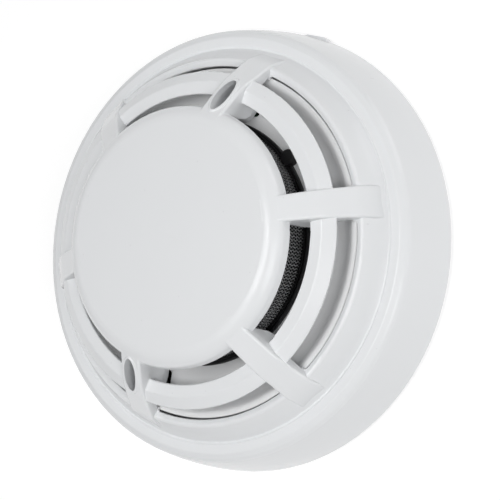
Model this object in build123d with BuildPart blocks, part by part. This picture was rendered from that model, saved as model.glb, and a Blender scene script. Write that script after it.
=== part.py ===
"""Combined smoke and heat detector head on a twist-lock mounting base.

Millimetres. The device axis is +Z, the back of the base lies on Z = 0 and the face looks up.
The head is inserted in the base but not yet turned; it locks by turning clockwise (minus Z) by TWIST.
"""
from build123d import *
import os

os.makedirs("parts", exist_ok=True)

# ---------------------------------------------------------------- driving dimensions
# side wall and rim of the front cover
SKIRT_Z = 1.2
SKIRT_R = 49.7
SKIRT_MID_R = 48.65
RIM_OUTER_R = 46.95
RIM_OUTER_Z = 15.2
RIM_R = 45.3
RIM_Z = 16.0
RIM_INNER_R = 43.4
WALL = 1.9
RIB_HEIGHT = 2.4

# valley, lip and outer slot
VALLEY_Z = 15.4
LIP_R = 39.45
LIP_Z = 20.5
SLOT_OUTER_R = 38.0
SLOT_OUTER_Z = 20.0

# vane ring between the two slots
VANE_IN_R = 30.64
VANE_CREASE_R = 33.4
VANE_OUT_R = 35.96
VANE_TOP_Z = 26.0
VANE_EDGE_Z = 24.5

# cap
CAP_R = 27.77
CAP_EDGE_Z = 28.3
CAP_SHOULDER_R = 24.0
CAP_SHOULDER_Z = 32.45
CAP_TOP_Z = 33.3

# spokes
SPOKE_COUNT = 6
SPOKE_START = 30
SPOKE_HALF = 3.6
SPOKE_DRAFT = 3.2
SPOKE_SOFT = 0.5
SPOKE_WEB_Z = 21.7
SPOKE_FOOT_Z = 14.0
SLICE = 16.0
CORNER_Z = 19.5
WINDOW_R = 30.99
WINDOW_LONG = 3.55
WINDOW_SHORT = 1.6
WINDOW_SOFT = 0.2
LIP_WIDTH = 0.55
LIP_HEIGHT = 0.3
TUBE_LONG = 4.15
TUBE_SHORT = 2.55
TUBE_Z = 19.05
POCKET_SHORT = 2.0
POCKET_ROOF = 1.3
WINDOW_ANGLES = (90, 270)

# optical chamber
FLANGE_R = 26.7
FLANGE_Z = 19.85
DECK_Z = 18.9
CHAMBER_R = 24.6
MESH_R = 25.5
MESH_T = 0.3
MESH_TOP_Z = 29.6
BOSS_R = 1.7
BOSS_RADIUS = 27.25
BOSS_ANGLES = (58, 178)
WELL_R = 22.5
WELL_Z = 17.0
LID_T = 1.6
FIN_COUNT = 26
FIN_R = 21.6
OPTIC_Z = 22.6
OPTIC_ANGLES = (205, 335)
OPTIC_R = 2.5
OPTIC_FRONT = 11.6
LEAD = 0.5
LEAD_PITCH = 2.54
LEAD_X = 19.6

# chassis ridge
RIDGE_R = 36.9
RIDGE_Z = 19.35
CHASSIS_R = 37.7
OPENING_X = 4.4
OPENING_Y = 6.2

# circuit board
PCB_Z = 11.2
PCB_T = 1.6
PCB_R = 34.6
PCB_SCREW_R = 31.6
PCB_SCREW_ANGLES = (45, 135, 225, 315)
STAND_OFF_R = 2.5
CHIP_R = 29.0
CHIP_ANGLE = 20
CAN_X = 26.0
CAN_Y = 20.0
CAN_T = 0.3

# rear housing and bayonet
REAR_Z = 8.4
REAR_T = 1.6
REAR_R = 46.3
COLLAR_R = 38.2
COLLAR_T = 2.2
LUG_Z = 4.2
LUG_T = 1.6
LUG_R = 39.9
LUG_ARC = 16
LUG_ANGLES = (0, 120, 240)
TWIST = 18

# cover screws
COVER_SCREW_R = 44.7
COVER_SCREW_ANGLES = (60, 180, 300)
COVER_BOSS_R = 2.0

# mounting base
PLATE_T = 2.0
PLATE_R = 48.8
PLATE_STEP_R = 47.2
RING_IN_R = 40.2
RING_OUT_R = 42.0
RING_TOP_Z = 7.6
LEDGE_IN_R = 38.5
LEDGE_Z = 6.1
LEDGE_ARC = 20
STOP_ARC = 2.5
CABLE_R = 8.0
SLOT_W = 4.5
SLOT_L = 10.0
SLOT_PITCH_X = 60.0
SLOT_PITCH_Y = 50.0

# seal ring
SEAL_IN_R = 11.5
SEAL_OUT_R = 15.0
SEAL_SOFT = 0.6

# terminals
TERMINAL_R = 27.0
TERMINAL_ANGLES = (45, 135, 225, 315)
POST_Z = 4.5
POST_SIDE = 9.0
TERMINAL_HOLE_R = 1.55
STRIP_T = 0.5
STRIP_HALF = 2.5
CLAMP_T = 0.9

# contact blades, indicator lamps and heat sensor
CONTACT_SHIFT = -2.0
CONTACT_PIN_R = 27.0
FOOT_T = 0.6
PIN_LONG = PCB_Z + PCB_T + 1.0 - REAR_Z + FOOT_T
LED_R = 1.5
LED_LONG = 4.6
THERMISTOR_R = 31.4
THERMISTOR_ANGLE = 180
THERMISTOR_Z = 21.6


def sector(inner_r, outer_r, height, arc, centre):
    """A ring sector standing on the sketch plane, centred on an angle in degrees."""
    with BuildPart(mode=Mode.PRIVATE) as body:
        with BuildSketch():
            with BuildLine():
                low = centre - arc / 2
                inner = CenterArc((0, 0), inner_r, low, arc)
                outer = CenterArc((0, 0), outer_r, low, arc)
                Line(inner @ 0, outer @ 0)
                Line(inner @ 1, outer @ 1)
            make_face()
        extrude(amount=height)
    return body.part


# ---------------------------------------------------------------- front cover
def spoke_top(lift):
    """The sloping top line of a spoke, from the cap to the valley, raised along its mean slope."""
    points = (
        (23.6, 32.5),
        (26.2, 31.55),
        (28.6, 30.1),
        (31.0, 28.67),
        (35.0, 25.75),
        (38.0, 22.6),
        (39.5, 21.1),
        (40.5, 19.55),
        (41.3, 17.85),
        (42.3, 15.75),
    )
    return [(radius + 0.5 * lift, height + 0.87 * lift) for radius, height in points]


# one spoke along +X: a drafted bar cut to its side profile, with softened top edges
with BuildPart() as spoke:
    with BuildSketch(Plane.XY.offset(SPOKE_FOOT_Z)):
        with Locations((34, 0)):
            Rectangle(24, 2 * SPOKE_HALF)
    extrude(amount=CAP_TOP_Z - SPOKE_FOOT_Z, taper=SPOKE_DRAFT)
    with BuildSketch(Plane.XZ.offset(-SLICE / 2)):
        with BuildLine():
            top = Spline(*spoke_top(0))
            Polyline(
                top @ 1,
                (42.2, 15.0),
                (39.3, 17.6),
                (38.05, 18.9),
                (37.95, 19.75),
                (36.6, 20.7),
                (35.0, SPOKE_WEB_Z),
                (28.6, SPOKE_WEB_Z),
                (27.5, 23.4),
                (26.6, 28.6),
                (26.2, 29.8),
                (25.0, 31.0),
                (23.6, 31.1),
                top @ 0,
            )
        make_face()
    extrude(amount=SLICE, mode=Mode.INTERSECT)
    crest = spoke.faces().filter_by(lambda face: face.normal_at().Z > 0.3).sort_by(SortBy.AREA)[-1]
    fillet(crest.edges().filter_by(lambda edge: abs(edge.center().Y) > 1), radius=SPOKE_SOFT)
    # rounded corners where the spoke meets the outer edge of the slot
    with BuildSketch(Plane.XY.offset(CORNER_Z)):
        with BuildLine():
            start = Line((37.0, SPOKE_HALF - 0.2), (SLOT_OUTER_R - 0.7, SPOKE_HALF - 0.2))
            corner = TangentArc(start @ 1, (SLOT_OUTER_R - 0.2, SPOKE_HALF + 0.45), tangent=(1, 0))
            Polyline(
                corner @ 1,
                (SLOT_OUTER_R + 0.6, SPOKE_HALF + 0.45),
                (SLOT_OUTER_R + 0.6, 2.5),
                (37, 2.5),
                start @ 0,
            )
        make_face()
        mirror(about=Plane.XZ)
    extrude(amount=SLOT_OUTER_Z - CORNER_Z)

# raised oval lip round an indicator window, along +X, following the slope of the spoke
with BuildPart() as window_lip:
    with BuildSketch(Plane.XY.offset(24)):
        with Locations((WINDOW_R, 0)):
            Ellipse(WINDOW_LONG + LIP_WIDTH, WINDOW_SHORT + LIP_WIDTH)
    extrude(amount=10)
    with BuildSketch(Plane.XZ.offset(-SLICE / 2)):
        with BuildLine():
            lip_top = Spline(*spoke_top(LIP_HEIGHT))
            Polyline(lip_top @ 1, (42.5, 14.0), (29.0, 14.0), (27.0, 27.5), (23.6, 30.5), lip_top @ 0)
        make_face()
    extrude(amount=SLICE, mode=Mode.INTERSECT)
    lip_face = window_lip.faces().sort_by(Axis.Z)[-1]
    fillet(lip_face.edges(), radius=LIP_HEIGHT)

# hollow of the lamp tube under such a window, along +X, which leaves an even wall at the mouth
with BuildPart() as window_pocket:
    with BuildSketch(Plane.XY.offset(TUBE_Z)):
        with Locations((WINDOW_R, 0)):
            Ellipse(WINDOW_LONG, POCKET_SHORT)
    extrude(amount=12)
    with BuildSketch(Plane.XZ.offset(-SLICE / 2)):
        with BuildLine():
            roof_line = Spline(*spoke_top(-POCKET_ROOF))
            Polyline(roof_line @ 1, (42.5, 12.0), (22.0, 12.0), roof_line @ 0)
        make_face()
    extrude(amount=SLICE, mode=Mode.INTERSECT)


def at_window_mouth(edge):
    """True for the edges where an indicator window opens in the sloping top of its spoke."""
    middle = edge.center()
    radius = abs(middle.Y)
    return abs(middle.X) < 3 and abs(radius - WINDOW_R) < 4.5 and middle.Z > 25 and edge.length < 12


with BuildPart() as front_cover:
    # side wall, rim, valley and lip in one turned section
    with BuildSketch(Plane.XZ) as ring_section:
        with BuildLine():
            wall = ThreePointArc((SKIRT_R, SKIRT_Z), (SKIRT_MID_R, 8.6), (RIM_OUTER_R, RIM_OUTER_Z))
            rim_bevel = Line(wall @ 1, (RIM_R, RIM_Z))
            rim_face = Line(rim_bevel @ 1, (RIM_INNER_R, RIM_Z - 0.1))
            rim_wall = Line(rim_face @ 1, (RIM_INNER_R - 0.35, VALLEY_Z))
            valley = Spline(rim_wall @ 1, (42.2, 16.15), (41.1, 17.55), (40.35, 18.9), (LIP_R, LIP_Z + 0.1))
            lip = Line(valley @ 1, (SLOT_OUTER_R, SLOT_OUTER_Z - 0.05))
            Polyline(
                lip @ 1,
                (SLOT_OUTER_R + 0.1, 18.8),
                (39.2, 17.3),
                (41.6, 14.2),
                (45.2, 13.3),
                (46.9, 8.6),
                (SKIRT_R - WALL, SKIRT_Z),
                wall @ 0,
            )
        make_face()
        fillet(ring_section.vertices().sort_by_distance((RIM_OUTER_R, RIM_OUTER_Z))[0], radius=1.6)
        fillet(ring_section.vertices().sort_by_distance((RIM_R, RIM_Z))[0], radius=0.8)
        fillet(ring_section.vertices().sort_by_distance((RIM_INNER_R, RIM_Z))[0], radius=0.3)
        fillet(ring_section.vertices().sort_by_distance((RIM_INNER_R - 0.35, VALLEY_Z))[0], radius=0.35)
        fillet(ring_section.vertices().sort_by_distance((LIP_R, LIP_Z))[0], radius=0.8)
        fillet(ring_section.vertices().sort_by_distance((SLOT_OUTER_R, SLOT_OUTER_Z))[0], radius=0.3)
    revolve(axis=Axis.Z)
    # vane ring
    with BuildSketch(Plane.XZ) as vane_section:
        with BuildLine():
            Polyline(
                (VANE_IN_R, VANE_TOP_Z),
                (VANE_CREASE_R, VANE_TOP_Z),
                (VANE_OUT_R, VANE_EDGE_Z),
                (35.3, 23.2),
                (33.0, 24.1),
                (30.9, 24.1),
                close=True,
            )
        make_face()
        fillet(vane_section.vertices().sort_by_distance((VANE_IN_R, VANE_TOP_Z))[0], radius=0.3)
        fillet(vane_section.vertices().sort_by_distance((VANE_CREASE_R, VANE_TOP_Z))[0], radius=0.8)
        fillet(vane_section.vertices().sort_by_distance((VANE_OUT_R, VANE_EDGE_Z))[0], radius=0.3)
    revolve(axis=Axis.Z)
    # cap
    with BuildSketch(Plane.XZ) as cap_section:
        with BuildLine():
            dome = ThreePointArc((0, CAP_TOP_Z), (12.2, 33.08), (CAP_SHOULDER_R, CAP_SHOULDER_Z))
            shoulder = Spline(dome @ 1, (26.25, 31.6), (27.45, 29.6), tangents=(dome % 1, (0.12, -1)))
            side_line = Line(shoulder @ 1, (CAP_R, CAP_EDGE_Z))
            under = Line(side_line @ 1, (CAP_R - 1.5, CAP_EDGE_Z))
            inner = Spline(under @ 1, (25.9, 29.6), (23.7, 30.75), tangents=((-0.1, 1), (-1, 0.1)))
            roof = Line(inner @ 1, (0, 31.5))
            Line(roof @ 1, dome @ 0)
        make_face()
        fillet(cap_section.vertices().sort_by_distance((CAP_R, CAP_EDGE_Z))[0], radius=0.3)
    revolve(axis=Axis.Z)
    with PolarLocations(0, SPOKE_COUNT, start_angle=SPOKE_START):
        add(spoke.part)
    with PolarLocations(0, 2, start_angle=WINDOW_ANGLES[0]):
        add(window_lip.part)
    # lamp tubes reach down from two of the spokes to the deck
    with BuildSketch(Plane.XY.offset(TUBE_Z)):
        for angle in WINDOW_ANGLES:
            with PolarLocations(WINDOW_R, 1, start_angle=angle):
                Ellipse(TUBE_LONG, TUBE_SHORT)
    extrude(amount=SPOKE_WEB_Z + 0.5 - TUBE_Z)
    # screw bosses under the rim
    with BuildSketch(Plane.XY.offset(REAR_Z + REAR_T)):
        for angle in COVER_SCREW_ANGLES:
            with PolarLocations(COVER_SCREW_R, 1, start_angle=angle):
                Circle(COVER_BOSS_R)
    extrude(amount=4.6)
    with BuildSketch(Plane.XY.offset(REAR_Z + REAR_T)):
        for angle in COVER_SCREW_ANGLES:
            with PolarLocations(COVER_SCREW_R, 1, start_angle=angle):
                Circle(1.15)
    extrude(amount=3.6, mode=Mode.SUBTRACT)
    # alignment rib on the side wall, ramped at both ends
    with BuildSketch(Plane.XY.offset(SKIRT_Z)):
        with BuildLine():
            Polyline(
                (-3.1, 48.4),
                (-3.1, 49.1),
                (-2.1, 49.75),
                (2.4, 50.15),
                (3.4, 49.5),
                (3.4, 48.4),
                close=True,
            )
        make_face()
    extrude(amount=RIB_HEIGHT)
    # oval indicator windows through the tops of the same spokes
    with BuildSketch(Plane.XY.offset(SPOKE_WEB_Z - 1)):
        for angle in WINDOW_ANGLES:
            with PolarLocations(WINDOW_R, 1, start_angle=angle):
                Ellipse(WINDOW_LONG, WINDOW_SHORT)
    extrude(amount=12, mode=Mode.SUBTRACT)
    mouths = front_cover.edges().filter_by(at_window_mouth)
    fillet(mouths, radius=WINDOW_SOFT)
    with PolarLocations(0, 2, start_angle=WINDOW_ANGLES[0]):
        add(window_pocket.part, mode=Mode.SUBTRACT)
front_cover.part.label = "front_cover"
export_step(front_cover.part, "parts/front_cover.step")

# ---------------------------------------------------------------- head chassis
# a deck with a rounded outer ridge
with BuildPart() as head_chassis:
    with BuildSketch(Plane.XZ) as chassis_section:
        with BuildLine():
            deck = Line((CHAMBER_R + 0.3, DECK_Z), (28.6, DECK_Z))
            trough = Spline(
                deck @ 1,
                (31.6, 18.3),
                (34.0, 17.9),
                (35.4, 18.45),
                (RIDGE_R, RIDGE_Z),
                tangents=((1, 0), (1, 0)),
            )
            Polyline(
                trough @ 1,
                (CHASSIS_R, RIDGE_Z),
                (CHASSIS_R, REAR_Z + REAR_T),
                (CHASSIS_R - 1.6, REAR_Z + REAR_T),
                (CHASSIS_R - 1.6, 16.6),
                (33.8, 16.3),
                (31.6, 16.7),
                (28.6, 17.3),
                (CHAMBER_R + 0.3, 17.3),
                deck @ 0,
            )
        make_face()
        fillet(chassis_section.vertices().sort_by_distance((CHASSIS_R, RIDGE_Z))[0], radius=0.3)
    revolve(axis=Axis.Z)
    # openings for the indicator lamps and the heat sensor
    with BuildSketch(Plane.XY.offset(15)):
        for angle in WINDOW_ANGLES:
            with PolarLocations(WINDOW_R, 1, start_angle=angle):
                RectangleRounded(OPENING_X, OPENING_Y, 0.8)
        with PolarLocations(THERMISTOR_R, 1, start_angle=THERMISTOR_ANGLE):
            Circle(2.2)
    extrude(amount=6, mode=Mode.SUBTRACT)
head_chassis.part.label = "head_chassis"
export_step(head_chassis.part, "parts/head_chassis.step")


# ---------------------------------------------------------------- optical chamber
def optic_holder():
    """A block on the well floor with a bore along +X for a 5 mm lamp or diode."""
    with BuildPart(mode=Mode.PRIVATE) as block:
        with BuildSketch(Plane.XY.offset(WELL_Z)):
            with Locations((13.5, 0)):
                Rectangle(9.0, 8.0)
        extrude(amount=OPTIC_Z + 3.6 - WELL_Z)
        fillet(block.edges().filter_by(Axis.Z), radius=0.8)
        with Locations(Location((8, 0, OPTIC_Z), (0, 90, 0))):
            Cylinder(OPTIC_R + 0.05, 12, align=(Align.CENTER, Align.CENTER, Align.MIN), mode=Mode.SUBTRACT)
    return block.part


with BuildPart() as chamber_base:
    with BuildSketch(Plane.XY.offset(PCB_Z + PCB_T)):
        Circle(CHAMBER_R)
    extrude(amount=DECK_Z - PCB_Z - PCB_T)
    with BuildSketch(Plane.XY.offset(DECK_Z)):
        Circle(FLANGE_R)
    extrude(amount=FLANGE_Z - DECK_Z)
    fillet(chamber_base.edges().filter_by(GeomType.CIRCLE).sort_by(Axis.Z)[-1], radius=0.25)
    with BuildSketch(Plane.XY.offset(DECK_Z)):
        for angle in BOSS_ANGLES:
            with PolarLocations(BOSS_RADIUS, 1, start_angle=angle):
                Circle(BOSS_R)
    extrude(amount=FLANGE_Z - DECK_Z + 0.9)
    fillet(chamber_base.faces().sort_by(Axis.Z)[-2:].edges(), radius=0.35)
    # groove line on the flange, and the open well of the chamber
    with BuildSketch(Plane.XY.offset(FLANGE_Z - 0.3)):
        Circle(26.25)
        Circle(26.0, mode=Mode.SUBTRACT)
    extrude(amount=1, mode=Mode.SUBTRACT)
    with BuildSketch(Plane.XY.offset(WELL_Z)):
        Circle(WELL_R)
    extrude(amount=5, mode=Mode.SUBTRACT)
    # holders of the optical pair, aimed at the middle of the well
    for angle in OPTIC_ANGLES:
        add(optic_holder().rotate(Axis.Z, angle))
        # slot for the leads behind the holder
        with BuildSketch(Plane.XY.offset(PCB_Z + PCB_T - 0.5)):
            with PolarLocations(LEAD_X, 1, start_angle=angle):
                Rectangle(1.6, 4.4)
        extrude(amount=6, mode=Mode.SUBTRACT)
chamber_base.part.label = "chamber_base"
export_step(chamber_base.part, "parts/chamber_base.step")

with BuildPart() as insect_mesh:
    with BuildSketch(Plane.XY.offset(FLANGE_Z)):
        Circle(MESH_R)
        Circle(MESH_R - MESH_T, mode=Mode.SUBTRACT)
    extrude(amount=MESH_TOP_Z - FLANGE_Z)
insect_mesh.part.label = "insect_mesh"
export_step(insect_mesh.part, "parts/insect_mesh.step")

with BuildPart() as chamber_cover:
    with BuildSketch(Plane.XY.offset(MESH_TOP_Z - 1.2)):
        Circle(MESH_R - MESH_T - 0.05)
    extrude(amount=LID_T)
    fillet(chamber_cover.edges().sort_by(Axis.Z)[-1], radius=0.6)
    # dog-leg fins hang from the lid and keep light out
    with BuildSketch(Plane.XY.offset(FLANGE_Z)):
        with PolarLocations(FIN_R, FIN_COUNT):
            with Locations(Location((0, 0, 0), (0, 0, 52))):
                Rectangle(3.6, 0.8)
            with Locations(Location((1.55, 1.95, 0), (0, 0, -20))):
                Rectangle(2.2, 0.8)
    extrude(amount=MESH_TOP_Z - 1.0 - FLANGE_Z)
chamber_cover.part.label = "chamber_cover"
export_step(chamber_cover.part, "parts/chamber_cover.step")


def optic(length):
    """A 5 mm lamp or diode lying along +X with its dome at the inner end and two leads bent down."""
    with BuildPart(mode=Mode.PRIVATE) as body:
        with Locations(Location((OPTIC_FRONT, 0, OPTIC_Z), (0, 90, 0))):
            Cylinder(OPTIC_R, length, align=(Align.CENTER, Align.CENTER, Align.MIN))
        with Locations((OPTIC_FRONT, 0, OPTIC_Z)):
            Sphere(OPTIC_R)
        reach = LEAD_X + LEAD / 2 - OPTIC_FRONT - length
        drop = OPTIC_Z + LEAD / 2 - PCB_Z - PCB_T
        for side_y in (-LEAD_PITCH / 2, LEAD_PITCH / 2):
            with Locations((OPTIC_FRONT + length, side_y, OPTIC_Z)):
                Box(reach, LEAD, LEAD, align=(Align.MIN, Align.CENTER, Align.CENTER))
            with Locations((LEAD_X, side_y, OPTIC_Z + LEAD / 2)):
                Box(LEAD, LEAD, drop, align=(Align.CENTER, Align.CENTER, Align.MAX))
    return body.part


with BuildPart() as ir_emitter:
    add(optic(6.2).rotate(Axis.Z, OPTIC_ANGLES[0]))
ir_emitter.part.label = "ir_emitter"
export_step(ir_emitter.part, "parts/ir_emitter.step")

with BuildPart() as photodiode:
    add(optic(5.6).rotate(Axis.Z, OPTIC_ANGLES[1]))
photodiode.part.label = "photodiode"
export_step(photodiode.part, "parts/photodiode.step")

# ---------------------------------------------------------------- circuit board and what is on it
with BuildPart() as pcb:
    with BuildSketch(Plane.XY.offset(PCB_Z)):
        Circle(PCB_R)
        for angle in PCB_SCREW_ANGLES:
            with PolarLocations(PCB_SCREW_R, 1, start_angle=angle):
                Circle(1.2, mode=Mode.SUBTRACT)
        for angle in TERMINAL_ANGLES:
            with PolarLocations(CONTACT_PIN_R, 1, start_angle=angle + CONTACT_SHIFT):
                Rectangle(1.0, 3.0, mode=Mode.SUBTRACT)
    extrude(amount=PCB_T)
pcb.part.label = "pcb"
export_step(pcb.part, "parts/pcb.step")

with BuildPart() as pcb_screws:
    for angle in PCB_SCREW_ANGLES:
        with PolarLocations(PCB_SCREW_R, 1, start_angle=angle):
            with Locations((0, 0, PCB_Z + PCB_T)):
                Cylinder(2.0, 1.3, align=(Align.CENTER, Align.CENTER, Align.MIN))
                Cylinder(1.05, 3.4, align=(Align.CENTER, Align.CENTER, Align.MAX))
            with Locations((0, 0, PCB_Z + PCB_T + 1.3)):
                Box(2.6, 0.5, 0.5, align=(Align.CENTER, Align.CENTER, Align.MAX), mode=Mode.SUBTRACT)
                Box(0.5, 2.6, 0.5, align=(Align.CENTER, Align.CENTER, Align.MAX), mode=Mode.SUBTRACT)
pcb_screws.part.label = "pcb_screws"
export_step(pcb_screws.part, "parts/pcb_screws.step")

with BuildPart() as indicator_leds:
    for angle in WINDOW_ANGLES:
        with PolarLocations(WINDOW_R, 1, start_angle=angle):
            with Locations((0, 0, PCB_Z + PCB_T)):
                Cylinder(LED_R + 0.4, 1.0, align=(Align.CENTER, Align.CENTER, Align.MIN))
                Cylinder(LED_R, LED_LONG, align=(Align.CENTER, Align.CENTER, Align.MIN))
            with Locations((0, 0, PCB_Z + PCB_T + LED_LONG)):
                Sphere(LED_R)
indicator_leds.part.label = "indicator_leds"
export_step(indicator_leds.part, "parts/indicator_leds.step")

with BuildPart() as thermistor:
    with PolarLocations(THERMISTOR_R, 1, start_angle=THERMISTOR_ANGLE):
        with Locations((0, 0, THERMISTOR_Z)):
            Sphere(1.15)
        for side_y in (-0.6, 0.6):
            with Locations((0, side_y, PCB_Z + PCB_T)):
                Cylinder(0.25, THERMISTOR_Z - PCB_Z - PCB_T, align=(Align.CENTER, Align.CENTER, Align.MIN))
thermistor.part.label = "thermistor"
export_step(thermistor.part, "parts/thermistor.step")


def on_board(width, depth, height, radius, angle, lift=0.0):
    """A block standing on the circuit board at a polar place, turned to face the centre."""
    with BuildPart(mode=Mode.PRIVATE) as body:
        with PolarLocations(radius, 1, start_angle=angle):
            with Locations((0, 0, PCB_Z + PCB_T + lift)):
                Box(depth, width, height, align=(Align.CENTER, Align.CENTER, Align.MIN))
    return body.part


with BuildPart() as controller_ic:
    add(on_board(6.4, 4.4, 1.2, CHIP_R, CHIP_ANGLE, lift=0.2))
    for step in range(6):
        for side_x in (-2.7, 2.7):
            with PolarLocations(CHIP_R, 1, start_angle=CHIP_ANGLE):
                with Locations((side_x, 1.02 * (step - 2.5), PCB_Z + PCB_T)):
                    Box(1.2, 0.4, 0.7, align=(Align.CENTER, Align.CENTER, Align.MIN))
controller_ic.part.label = "controller_ic"
export_step(controller_ic.part, "parts/controller_ic.step")

with BuildPart() as capacitors:
    for angle in (340, 325):
        with PolarLocations(CHIP_R, 1, start_angle=angle):
            with Locations((0, 0, PCB_Z + PCB_T)):
                Cylinder(2.0, 2.9, align=(Align.CENTER, Align.CENTER, Align.MIN))
capacitors.part.label = "capacitors"
export_step(capacitors.part, "parts/capacitors.step")

with BuildPart() as regulator:
    add(on_board(4.5, 2.5, 1.5, CHIP_R, 118))
    add(on_board(1.8, 4.2, 0.6, CHIP_R, 118))
regulator.part.label = "regulator"
export_step(regulator.part, "parts/regulator.step")

with BuildPart() as chip_parts:
    for angle in (5, 33, 75, 108, 150, 205, 232, 250, 290, 305):
        add(on_board(2.0, 1.2, 0.6, CHIP_R, angle))
chip_parts.part.label = "chip_parts"
export_step(chip_parts.part, "parts/chip_parts.step")

# screening can under the board, between the stand-offs
with BuildPart() as shield_can:
    with BuildSketch(Plane.XY.offset(REAR_Z + REAR_T + 0.15)):
        RectangleRounded(CAN_X, CAN_Y, 1.5)
    extrude(amount=PCB_Z - REAR_Z - REAR_T - 0.15)
    with BuildSketch(Plane.XY.offset(REAR_Z + REAR_T + 0.15 + CAN_T)):
        RectangleRounded(CAN_X - 2 * CAN_T, CAN_Y - 2 * CAN_T, 1.5 - CAN_T)
    extrude(amount=2, mode=Mode.SUBTRACT)
shield_can.part.label = "shield_can"
export_step(shield_can.part, "parts/shield_can.step")

# ---------------------------------------------------------------- rear housing with the bayonet lugs
with BuildPart() as rear_housing:
    with BuildSketch(Plane.XY.offset(REAR_Z)):
        Circle(REAR_R)
        for angle in COVER_SCREW_ANGLES:
            with PolarLocations(COVER_SCREW_R, 1, start_angle=angle):
                Circle(1.25, mode=Mode.SUBTRACT)
        for angle in TERMINAL_ANGLES:
            with PolarLocations(CONTACT_PIN_R, 1, start_angle=angle + CONTACT_SHIFT):
                Rectangle(0.9, 2.9, mode=Mode.SUBTRACT)
    extrude(amount=REAR_T)
    # collar below the disc, and stand-offs above it
    with BuildSketch(Plane.XY.offset(LUG_Z)):
        Circle(COLLAR_R)
        Circle(COLLAR_R - COLLAR_T, mode=Mode.SUBTRACT)
    extrude(amount=REAR_Z - LUG_Z)
    with BuildSketch(Plane.XY.offset(REAR_Z + REAR_T)):
        for angle in PCB_SCREW_ANGLES:
            with PolarLocations(PCB_SCREW_R, 1, start_angle=angle):
                Circle(STAND_OFF_R)
    extrude(amount=PCB_Z - REAR_Z - REAR_T)
    with BuildSketch(Plane.XY.offset(REAR_Z + 0.7)):
        for angle in PCB_SCREW_ANGLES:
            with PolarLocations(PCB_SCREW_R, 1, start_angle=angle):
                Circle(1.1)
    extrude(amount=3, mode=Mode.SUBTRACT)
    for angle in LUG_ANGLES:
        add(sector(COLLAR_R - 0.6, LUG_R, LUG_T, LUG_ARC, angle).moved(Location((0, 0, LUG_Z))))
rear_housing.part.label = "rear_housing"
export_step(rear_housing.part, "parts/rear_housing.step")

with BuildPart() as cover_screws:
    for angle in COVER_SCREW_ANGLES:
        with PolarLocations(COVER_SCREW_R, 1, start_angle=angle):
            with Locations((0, 0, REAR_Z)):
                Cylinder(1.5, 1.2, align=(Align.CENTER, Align.CENTER, Align.MAX))
                Cylinder(1.1, 5.0, align=(Align.CENTER, Align.CENTER, Align.MIN))
            with Locations((0, 0, REAR_Z - 1.2)):
                Box(2.0, 0.5, 0.5, align=(Align.CENTER, Align.CENTER, Align.MIN), mode=Mode.SUBTRACT)
                Box(0.5, 2.0, 0.5, align=(Align.CENTER, Align.CENTER, Align.MIN), mode=Mode.SUBTRACT)
cover_screws.part.label = "cover_screws"
export_step(cover_screws.part, "parts/cover_screws.step")

# contact blades: a pin through the disc to the board and a foot that slides on the base contact
with BuildPart() as head_contacts:
    for angle in TERMINAL_ANGLES:
        with PolarLocations(CONTACT_PIN_R, 1, start_angle=angle + CONTACT_SHIFT):
            with Locations((0, 0, REAR_Z - FOOT_T)):
                Box(0.8, 2.8, PIN_LONG, align=(Align.CENTER, Align.CENTER, Align.MIN))
                Box(6.0, 8.0, FOOT_T, align=(Align.CENTER, Align.CENTER, Align.MIN))
head_contacts.part.label = "head_contacts"
export_step(head_contacts.part, "parts/head_contacts.step")

# ---------------------------------------------------------------- seal ring round the cable entry
with BuildPart() as seal_ring:
    with BuildSketch(Plane.XY.offset(PLATE_T)):
        Circle(SEAL_OUT_R)
        Circle(SEAL_IN_R, mode=Mode.SUBTRACT)
    extrude(amount=REAR_Z - PLATE_T)
    fillet(seal_ring.edges(), radius=SEAL_SOFT)
seal_ring.part.label = "seal_ring"
export_step(seal_ring.part, "parts/seal_ring.step")

# ---------------------------------------------------------------- mounting base
with BuildPart() as mounting_base:
    with BuildSketch():
        Circle(PLATE_R)
        Circle(CABLE_R, mode=Mode.SUBTRACT)
        with Locations((-SLOT_PITCH_X / 2, 0), (SLOT_PITCH_X / 2, 0)):
            SlotOverall(SLOT_L, SLOT_W, mode=Mode.SUBTRACT)
        with Locations((0, -SLOT_PITCH_Y / 2), (0, SLOT_PITCH_Y / 2)):
            SlotOverall(SLOT_L, SLOT_W, rotation=90, mode=Mode.SUBTRACT)
    extrude(amount=PLATE_T)
    # the edge is stepped so that the side wall of the head drops over it
    with BuildSketch(Plane.XY.offset(PLATE_T / 2)):
        Circle(PLATE_R + 1)
        Circle(PLATE_STEP_R, mode=Mode.SUBTRACT)
    extrude(amount=PLATE_T, mode=Mode.SUBTRACT)
    with BuildSketch(Plane.XY.offset(PLATE_T)):
        Circle(RING_OUT_R)
        Circle(RING_IN_R, mode=Mode.SUBTRACT)
    extrude(amount=RING_TOP_Z - PLATE_T)
    # each ledge lies clockwise of the lug it holds, with a stop at its far end
    for angle in LUG_ANGLES:
        ledge = sector(LEDGE_IN_R, RING_IN_R + 0.6, RING_TOP_Z - LEDGE_Z, LEDGE_ARC, angle - TWIST - 2)
        add(ledge.moved(Location((0, 0, LEDGE_Z))))
        stop_angle = angle - TWIST - LUG_ARC / 2 - 1.75
        stop = sector(LEDGE_IN_R, RING_IN_R + 0.6, RING_TOP_Z - PLATE_T, STOP_ARC, stop_angle)
        add(stop.moved(Location((0, 0, PLATE_T))))
    # posts for the terminals
    with BuildSketch(Plane.XY.offset(PLATE_T)):
        for angle in TERMINAL_ANGLES:
            with PolarLocations(TERMINAL_R, 1, start_angle=angle):
                RectangleRounded(POST_SIDE, POST_SIDE, 0.8)
    extrude(amount=POST_Z - PLATE_T)
    with BuildSketch(Plane.XY.offset(0.8)):
        for angle in TERMINAL_ANGLES:
            with PolarLocations(TERMINAL_R, 1, start_angle=angle):
                Circle(TERMINAL_HOLE_R)
    extrude(amount=5, mode=Mode.SUBTRACT)
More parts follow.
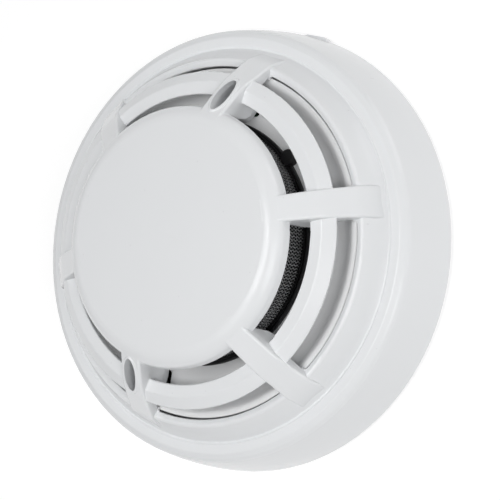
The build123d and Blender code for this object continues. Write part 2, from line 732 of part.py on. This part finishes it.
mounting_base.part.label = "mounting_base"
export_step(mounting_base.part, "parts/mounting_base.step")


def contact_strip():
    """A contact strip, flat where it is clamped on the post and arched up beside it."""
    with BuildPart(mode=Mode.PRIVATE) as strip:
        with BuildSketch(Plane.YZ) as strip_side:
            with BuildLine():
                Polyline(
                    (3.6, 0.0),
                    (-4.8, 0.0),
                    (-8.2, 2.7),
                    (-10.8, 2.7),
                    (-12.6, 1.2),
                    (-12.9, 1.6),
                    (-10.95, 3.2),
                    (-8.05, 3.2),
                    (-4.65, STRIP_T),
                    (3.6, STRIP_T),
                    close=True,
                )
            make_face()
        extrude(amount=STRIP_HALF, both=True)
        Cylinder(TERMINAL_HOLE_R, 3, mode=Mode.SUBTRACT)
    return strip.part


with BuildPart() as base_contacts:
    for angle in TERMINAL_ANGLES:
        add(contact_strip().moved(Location((TERMINAL_R, 0, POST_Z))).rotate(Axis.Z, angle))
base_contacts.part.label = "base_contacts"
export_step(base_contacts.part, "parts/base_contacts.step")

with BuildPart() as terminal_clamps:
    for angle in TERMINAL_ANGLES:
        with PolarLocations(TERMINAL_R, 1, start_angle=angle):
            with Locations((0, 0, POST_Z + STRIP_T)):
                Box(7.0, 6.6, CLAMP_T, align=(Align.CENTER, Align.CENTER, Align.MIN))
            with Locations((0, 0, POST_Z + STRIP_T + CLAMP_T / 2)):
                Cylinder(TERMINAL_HOLE_R, CLAMP_T, mode=Mode.SUBTRACT)
terminal_clamps.part.label = "terminal_clamps"
export_step(terminal_clamps.part, "parts/terminal_clamps.step")

with BuildPart() as terminal_screws:
    for angle in TERMINAL_ANGLES:
        with PolarLocations(TERMINAL_R, 1, start_angle=angle):
            with Locations((0, 0, POST_Z + STRIP_T + CLAMP_T)):
                Cylinder(2.8, 1.6, align=(Align.CENTER, Align.CENTER, Align.MIN))
                Cylinder(1.45, 4.9, align=(Align.CENTER, Align.CENTER, Align.MAX))
            with Locations((0, 0, POST_Z + STRIP_T + CLAMP_T + 1.6)):
                Box(5.8, 0.8, 0.7, align=(Align.CENTER, Align.CENTER, Align.MAX), mode=Mode.SUBTRACT)
terminal_screws.part.label = "terminal_screws"
export_step(terminal_screws.part, "parts/terminal_screws.step")
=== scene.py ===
"""Looks of the detector: plastics, woven insect mesh, fittings, pale floor, studio light and camera."""

import math

import bpy
from mathutils import Euler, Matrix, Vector


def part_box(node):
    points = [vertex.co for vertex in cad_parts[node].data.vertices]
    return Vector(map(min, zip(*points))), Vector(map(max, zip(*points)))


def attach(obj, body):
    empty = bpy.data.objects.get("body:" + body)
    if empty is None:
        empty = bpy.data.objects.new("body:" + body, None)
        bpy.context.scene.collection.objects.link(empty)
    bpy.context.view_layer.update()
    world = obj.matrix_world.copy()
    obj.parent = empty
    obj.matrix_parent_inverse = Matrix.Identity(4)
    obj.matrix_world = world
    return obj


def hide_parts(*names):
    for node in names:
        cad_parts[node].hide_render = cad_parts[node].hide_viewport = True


MM = 0.001

# camera: place, turn and lens give the three-quarter view of the face
CAMERA_PLACE = (0.1560, 0.0291, 0.2361)
CAMERA_TURN = (6.617, 33.429, 22.499)
CAMERA_LENS = 89.94
SENSOR = 36.0

# light: lamps are (name, azimuth, elevation, watts)
SKY_LEVEL = 0.20
FLOOR_GLOW = 0.59
LAMP_DISTANCE = 0.7
LAMP_SIZE = 0.3
LAMPS = (
    ("overhead", 0, 90, 1.92),
    ("right", 0, 45, 1.29),
    ("lower", 270, 72, 0.54),
    ("upper_right", 65, 12, 0.58),
)
FLOOR_DROP = 0.2 * MM
FLOOR_HALF = 3.0

# insect mesh: wire size and the grid of crossings, along the axis and round the cylinder
MESH_INSET = 0.15 * MM
WIRE_R = 0.11 * MM
WAVE = 0.10 * MM
STEP_UP = 0.685 * MM
STRANDS = 222
POINTS_PER_CROSSING = 3
WIRE_SIDES = 4

# refraction of the plastics and of the cast resins
PLASTIC_IOR = 1.4
RESIN_IOR = 1.52

# colours
COVER_WHITE = (0.80, 0.812, 0.825)
SATIN_WHITE = (0.78, 0.785, 0.79)
CHAMBER_BLACK = (0.008, 0.008, 0.009)
CHIP_BLACK = (0.018, 0.018, 0.019)
CERAMIC = (0.35, 0.27, 0.18)
STEEL = (0.62, 0.62, 0.61)
TIN = (0.66, 0.65, 0.62)
BRASS = (0.78, 0.60, 0.30)
ALUMINIUM = (0.75, 0.75, 0.76)
WIRE_GREY = (0.44, 0.44, 0.445)
# indicator lamp resin: a smoked tint, made near black as painted shade for the deep window tube it sits in
LAMP_SMOKE_AND_SHADE = (0.016, 0.012, 0.013)
EMITTER_BLUE = (0.25, 0.28, 0.36)
DIODE_DARK = (0.03, 0.02, 0.03)
BEAD_DARK = (0.02, 0.02, 0.03)


# ---------------------------------------------------------------- materials
def new_material(name):
    """A node material with its Principled shader and object coordinates."""
    material = bpy.data.materials.new(name)
    material.use_nodes = True
    tree = material.node_tree
    shader = tree.nodes["Principled BSDF"]
    place = tree.nodes.new("ShaderNodeTexCoord").outputs["Object"]
    return material, tree, shader, place


def noise(tree, place, size, detail=3.0, rough=0.5):
    """A noise pattern whose grain is about size metres."""
    node = tree.nodes.new("ShaderNodeTexNoise")
    node.inputs["Scale"].default_value = 1.0 / size
    node.inputs["Detail"].default_value = detail
    node.inputs["Roughness"].default_value = rough
    tree.links.new(place, node.inputs["Vector"])
    return node.outputs["Fac"]


def ramp(tree, value, stops):
    """Maps a value to colours given as (position, colour) stops."""
    node = tree.nodes.new("ShaderNodeValToRGB")
    elements = node.color_ramp.elements
    while len(elements) < len(stops):
        elements.new(0.5)
    for element, (position, colour) in zip(elements, stops):
        element.position = position
        element.color = (*colour, 1.0)
    tree.links.new(value, node.inputs["Fac"])
    return node.outputs["Color"]


def spread(tree, value, low, high):
    """Maps a 0..1 value to low..high."""
    node = tree.nodes.new("ShaderNodeMapRange")
    node.inputs["To Min"].default_value = low
    node.inputs["To Max"].default_value = high
    tree.links.new(value, node.inputs["Value"])
    return node.outputs["Result"]


def bump(tree, shader, height, distance):
    """Adds relief of the given height, in metres, on top of any that is there."""
    node = tree.nodes.new("ShaderNodeBump")
    node.inputs["Distance"].default_value = distance
    node.inputs["Strength"].default_value = 1.0
    tree.links.new(height, node.inputs["Height"])
    before = shader.inputs["Normal"].links
    if before:
        tree.links.new(before[0].from_socket, node.inputs["Normal"])
    tree.links.new(node.outputs["Normal"], shader.inputs["Normal"])


def scaled(colour, factor):
    """A colour made darker or lighter."""
    return tuple(min(1.0, part * factor) for part in colour)


def plastic(name, colour, gloss, grain, relief, shift=0.02, glow=0.0):
    """Moulded plastic: faint colour drift, uneven gloss and a fine mould texture."""
    material, tree, shader, place = new_material(name)
    drift = noise(tree, place, 14 * MM, detail=2.0)
    stops = ((0.3, scaled(colour, 1 - shift)), (0.7, scaled(colour, 1 + shift)))
    colour_out = ramp(tree, drift, stops)
    tree.links.new(colour_out, shader.inputs["Base Color"])
    smear = noise(tree, place, 5 * MM, detail=4.0)
    tree.links.new(spread(tree, smear, gloss - 0.03, gloss + 0.04), shader.inputs["Roughness"])
    bump(tree, shader, noise(tree, place, grain, detail=2.0), relief)
    shader.inputs["IOR"].default_value = PLASTIC_IOR
    if glow:
        shader.inputs["Subsurface Weight"].default_value = glow
        shader.inputs["Subsurface Radius"].default_value = (1.0, 0.95, 0.9)
        shader.inputs["Subsurface Scale"].default_value = 0.8 * MM
    return material


def cover_plastic():
    """Gloss white moulding with a very soft ripple and a few specks of dust."""
    material = plastic("cover_white", COVER_WHITE, 0.24, 2.5 * MM, 0.002 * MM, shift=0.004)
    tree = material.node_tree
    shader = tree.nodes["Principled BSDF"]
    place = tree.nodes["Texture Coordinate"].outputs["Object"]
    cells = tree.nodes.new("ShaderNodeTexVoronoi")
    cells.voronoi_dimensions = "2D"
    cells.inputs["Scale"].default_value = 70.0
    tree.links.new(place, cells.inputs["Vector"])
    specks = ramp(tree, cells.outputs["Distance"], ((0.005, (0.90, 0.90, 0.90)), (0.012, (1.0, 1.0, 1.0))))
    mix = tree.nodes.new("ShaderNodeMix")
    mix.data_type = "RGBA"
    mix.blend_type = "MULTIPLY"
    mix.inputs["Factor"].default_value = 1.0
    base = shader.inputs["Base Color"].links[0].from_socket
    tree.links.new(base, mix.inputs[6])
    tree.links.new(specks, mix.inputs[7])
    tree.links.new(mix.outputs[2], shader.inputs["Base Color"])
    return material


def metal(name, colour, gloss, scratch=0.004 * MM, streak=(1.0, 1.0, 1.0)):
    """Plated or drawn metal: stretched scratches, tarnish and uneven gloss."""
    material, tree, shader, place = new_material(name)
    shader.inputs["Metallic"].default_value = 1.0
    stretch = tree.nodes.new("ShaderNodeMapping")
    stretch.inputs["Scale"].default_value = streak
    tree.links.new(place, stretch.inputs["Vector"])
    lines = noise(tree, stretch.outputs["Vector"], 0.25 * MM, detail=4.0, rough=0.7)
    tarnish = noise(tree, place, 2.5 * MM, detail=5.0)
    colour_out = ramp(tree, tarnish, ((0.35, scaled(colour, 0.82)), (0.65, scaled(colour, 1.06))))
    tree.links.new(colour_out, shader.inputs["Base Color"])
    tree.links.new(spread(tree, lines, gloss - 0.08, gloss + 0.12), shader.inputs["Roughness"])
    bump(tree, shader, lines, scratch)
    return material


def board_green():
    """Solder mask over copper tracks."""
    material, tree, shader, place = new_material("board_green")
    tracks = tree.nodes.new("ShaderNodeTexBrick")
    tracks.inputs["Scale"].default_value = 1.0 / (9 * MM)
    tracks.inputs["Mortar Size"].default_value = 0.03
    tracks.inputs["Color1"].default_value = (0.003, 0.016, 0.008, 1.0)
    tracks.inputs["Color2"].default_value = (0.003, 0.014, 0.007, 1.0)
    tracks.inputs["Mortar"].default_value = (0.006, 0.030, 0.015, 1.0)
    tree.links.new(place, tracks.inputs["Vector"])
    tree.links.new(tracks.outputs["Color"], shader.inputs["Base Color"])
    tree.links.new(spread(tree, noise(tree, place, 3 * MM), 0.28, 0.42), shader.inputs["Roughness"])
    bump(tree, shader, tracks.outputs["Fac"], 0.03 * MM)
    return material


def resin(name, colour, gloss=0.12):
    """Cast lamp or diode resin with a slight haze inside."""
    material, tree, shader, place = new_material(name)
    haze = noise(tree, place, 1.2 * MM, detail=3.0)
    colour_out = ramp(tree, haze, ((0.3, scaled(colour, 0.85)), (0.7, scaled(colour, 1.12))))
    tree.links.new(colour_out, shader.inputs["Base Color"])
    tree.links.new(spread(tree, haze, gloss - 0.03, gloss + 0.05), shader.inputs["Roughness"])
    shader.inputs["IOR"].default_value = RESIN_IOR
    return material


def rubber():
    """Matt seal rubber with talc dust in its grain."""
    material, tree, shader, place = new_material("seal_rubber")
    talc = noise(tree, place, 0.9 * MM, detail=6.0, rough=0.65)
    colour_out = ramp(tree, talc, ((0.45, (0.022, 0.022, 0.023)), (0.75, (0.075, 0.075, 0.077))))
    tree.links.new(colour_out, shader.inputs["Base Color"])
    tree.links.new(spread(tree, talc, 0.72, 0.9), shader.inputs["Roughness"])
    bump(tree, shader, noise(tree, place, 0.3 * MM), 0.02 * MM)
    return material


def floor_white():
    """Pale studio floor that shines a little by itself, seen only from above."""
    material, tree, shader, place = new_material("floor_white")
    paper = ramp(tree, noise(tree, place, 40 * MM), ((0.3, (0.50, 0.50, 0.50)), (0.7, (0.52, 0.52, 0.52))))
    tree.links.new(paper, shader.inputs["Base Color"])
    shader.inputs["Roughness"].default_value = 1.0
    shader.inputs["Specular IOR Level"].default_value = 0.0
    shader.inputs["Emission Color"].default_value = (1.0, 1.0, 1.0, 1.0)
    shader.inputs["Emission Strength"].default_value = FLOOR_GLOW
    side = tree.nodes.new("ShaderNodeNewGeometry")
    clear = tree.nodes.new("ShaderNodeBsdfTransparent")
    choose = tree.nodes.new("ShaderNodeMixShader")
    out = tree.nodes["Material Output"]
    tree.links.new(side.outputs["Backfacing"], choose.inputs["Fac"])
    tree.links.new(shader.outputs["BSDF"], choose.inputs[1])
    tree.links.new(clear.outputs["BSDF"], choose.inputs[2])
    tree.links.new(choose.outputs["Shader"], out.inputs["Surface"])
    return material


# ---------------------------------------------------------------- pieces
def woven_mesh(material):
    """The insect mesh: two families of waved wires that cross on a cylinder."""
    low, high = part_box("insect_mesh")
    radius = (high.x - low.x) / 2 - MESH_INSET
    rows = int((high.z - low.z) / STEP_UP)
    turn = math.pi / STRANDS
    corners = []
    faces = []
    for hand in (1, -1):
        for strand in range(STRANDS):
            start = 2 * turn * strand
            first = len(corners)
            count = rows * POINTS_PER_CROSSING + 1
            for i in range(count):
                crossing = i / POINTS_PER_CROSSING
                angle = start + hand * turn * crossing
                lift = hand * WAVE * math.cos(math.pi * crossing)
                out = Vector((math.cos(angle), math.sin(angle), 0))
                along = Vector((-out.y, out.x, 0)) * hand * turn * radius + Vector((0, 0, STEP_UP))
                side = out.cross(along).normalized()
                centre = out * (radius + lift) + Vector((0, 0, low.z + STEP_UP * crossing))
                for k in range(WIRE_SIDES):
                    bend = 2 * math.pi * k / WIRE_SIDES
                    corners.append(centre + out * WIRE_R * math.cos(bend) + side * WIRE_R * math.sin(bend))
            for i in range(count - 1):
                for k in range(WIRE_SIDES):
                    a = first + i * WIRE_SIDES + k
                    b = first + i * WIRE_SIDES + (k + 1) % WIRE_SIDES
                    faces.append((a, b, b + WIRE_SIDES, a + WIRE_SIDES))
            last = first + (count - 1) * WIRE_SIDES
            faces.append(tuple(first + k for k in reversed(range(WIRE_SIDES))))
            faces.append(tuple(last + k for k in range(WIRE_SIDES)))
    data = bpy.data.meshes.new("woven_mesh")
    data.from_pydata(corners, [], faces)
    data.polygons.foreach_set("use_smooth", [True] * len(faces))
    data.materials.append(material)
    piece = bpy.data.objects.new("woven_mesh", data)
    bpy.context.scene.collection.objects.link(piece)
    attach(piece, "head")
    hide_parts("insect_mesh")


def give(frame, material, *names):
    """Gives a material to CAD nodes."""
    for name in names:
        node = frame["nodes"][name]
        node.data.materials.clear()
        node.data.materials.append(material)


# ---------------------------------------------------------------- stage
def add_floor():
    """A large pale floor just under the mounting face."""
    signs = ((-1, -1), (1, -1), (1, 1), (-1, 1))
    corners = [(x * FLOOR_HALF, y * FLOOR_HALF, -FLOOR_DROP) for x, y in signs]
    data = bpy.data.meshes.new("floor")
    data.from_pydata(corners, [], [(0, 1, 2, 3)])
    data.materials.append(floor_white())
    floor = bpy.data.objects.new("floor", data)
    bpy.context.scene.collection.objects.link(floor)


def add_softbox(name, azimuth, elevation, power):
    """A square area light that looks at the object; azimuth is from +X towards +Y."""
    turn, rise = math.radians(azimuth), math.radians(elevation)
    aim = Vector((math.cos(rise) * math.cos(turn), math.cos(rise) * math.sin(turn), math.sin(rise)))
    light = bpy.data.lights.new(name, "AREA")
    light.size = LAMP_SIZE
    light.energy = power
    lamp = bpy.data.objects.new(name, light)
    bpy.context.scene.collection.objects.link(lamp)
    lamp.location = aim * LAMP_DISTANCE
    lamp.rotation_euler = (-aim).to_track_quat("-Z", "Y").to_euler()


def add_light():
    """A dim white sky and four softboxes."""
    world = bpy.data.worlds.new("studio")
    world.use_nodes = True
    sky = world.node_tree.nodes["Background"]
    sky.inputs["Color"].default_value = (1.0, 1.0, 1.0, 1.0)
    sky.inputs["Strength"].default_value = SKY_LEVEL
    bpy.context.scene.world = world
    for name, azimuth, elevation, power in LAMPS:
        add_softbox(name, azimuth, elevation, power)


def add_camera():
    """The three-quarter view of the face."""
    lens = bpy.data.cameras.new("camera")
    lens.lens = CAMERA_LENS
    lens.sensor_width = SENSOR
    camera = bpy.data.objects.new("camera", lens)
    bpy.context.scene.collection.objects.link(camera)
    camera.location = CAMERA_PLACE
    camera.rotation_euler = Euler([math.radians(turn) for turn in CAMERA_TURN], "XYZ")
    bpy.context.scene.camera = camera


# ---------------------------------------------------------------- the scene
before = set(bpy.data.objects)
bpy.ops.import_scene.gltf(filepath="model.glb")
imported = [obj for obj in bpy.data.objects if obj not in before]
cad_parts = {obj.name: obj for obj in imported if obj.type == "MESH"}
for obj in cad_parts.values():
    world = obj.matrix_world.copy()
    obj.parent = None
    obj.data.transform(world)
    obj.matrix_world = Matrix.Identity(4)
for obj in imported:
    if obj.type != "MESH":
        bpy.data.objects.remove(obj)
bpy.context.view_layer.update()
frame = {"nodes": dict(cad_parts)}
bpy.context.scene.view_settings.view_transform = "Standard"
add_camera()
add_light()
add_floor()

satin = plastic("satin_white", SATIN_WHITE, 0.42, 0.35 * MM, 0.012 * MM, shift=0.01, glow=0.1)
black = plastic("chamber_black", CHAMBER_BLACK, 0.5, 0.25 * MM, 0.012 * MM, shift=0.2)
chip = plastic("chip_black", CHIP_BLACK, 0.45, 0.12 * MM, 0.01 * MM, shift=0.1)
ceramic = plastic("ceramic", CERAMIC, 0.5, 0.1 * MM, 0.006 * MM)
steel = metal("screw_steel", STEEL, 0.3)
tinned = metal("tinned_steel", TIN, 0.38)
brass = metal("contact_brass", BRASS, 0.26)
can = metal("capacitor_can", ALUMINIUM, 0.25, streak=(1.0, 1.0, 0.1))
wire = metal("mesh_wire", WIRE_GREY, 0.34, scratch=0.002 * MM)

give(frame, cover_plastic(), "front_cover")
give(frame, satin, "head_chassis", "rear_housing", "mounting_base")
give(frame, black, "chamber_base", "chamber_cover")
give(frame, board_green(), "pcb")
give(frame, steel, "pcb_screws", "cover_screws", "terminal_screws")
give(frame, tinned, "terminal_clamps", "shield_can")
give(frame, brass, "base_contacts", "head_contacts")
give(frame, rubber(), "seal_ring")
# the indicator lamps' near-black resin is partly smoked tint and partly painted shade of the window tube
give(frame, resin("indicator_smoke", LAMP_SMOKE_AND_SHADE), "indicator_leds")
give(frame, resin("emitter_resin", EMITTER_BLUE), "ir_emitter")
give(frame, resin("diode_resin", DIODE_DARK), "photodiode")
give(frame, resin("thermistor_resin", BEAD_DARK, gloss=0.3), "thermistor")
give(frame, chip, "controller_ic", "regulator")
give(frame, ceramic, "chip_parts")
give(frame, can, "capacitors")
woven_mesh(wire)
